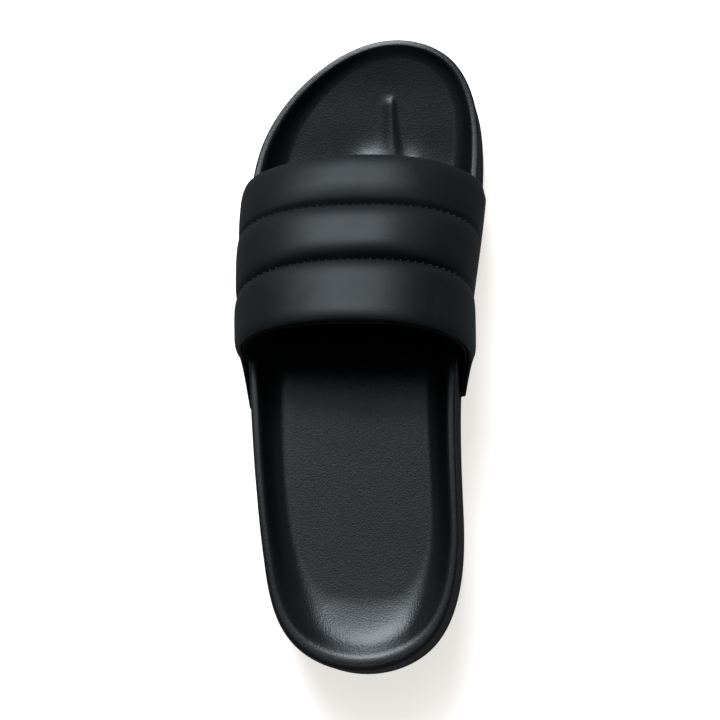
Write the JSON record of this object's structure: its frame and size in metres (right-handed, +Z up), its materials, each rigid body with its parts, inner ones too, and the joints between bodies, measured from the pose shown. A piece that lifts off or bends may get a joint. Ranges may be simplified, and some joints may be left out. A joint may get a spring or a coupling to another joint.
{
  "type": "padded foam slide",
  "caption": "Left foot foam slide: tread layer, moulded footbed with a raised rim, heel cup and toe grip bar, and a wide quilted padded strap open at toe and heel.",
  "frame": {"origin": "middle of the box's foot, on the floor", "axes": "+Y from heel to toe, +X to the medial side of the left foot, +Z up"},
  "size_m": [0.1056, 0.273, 0.0819],
  "materials": {
    "tread_foam": "black matt tread foam",
    "moulded_foam": "black moulded foam with a fine satin leather grain",
    "strap_cover": "black matt coated fabric over padding, thread of the same colour"
  },
  "bodies": {
    "root": {"outsole": "tread_foam", "footbed": "moulded_foam", "upper_strap": "strap_cover"}
  },
  "joints": []
}
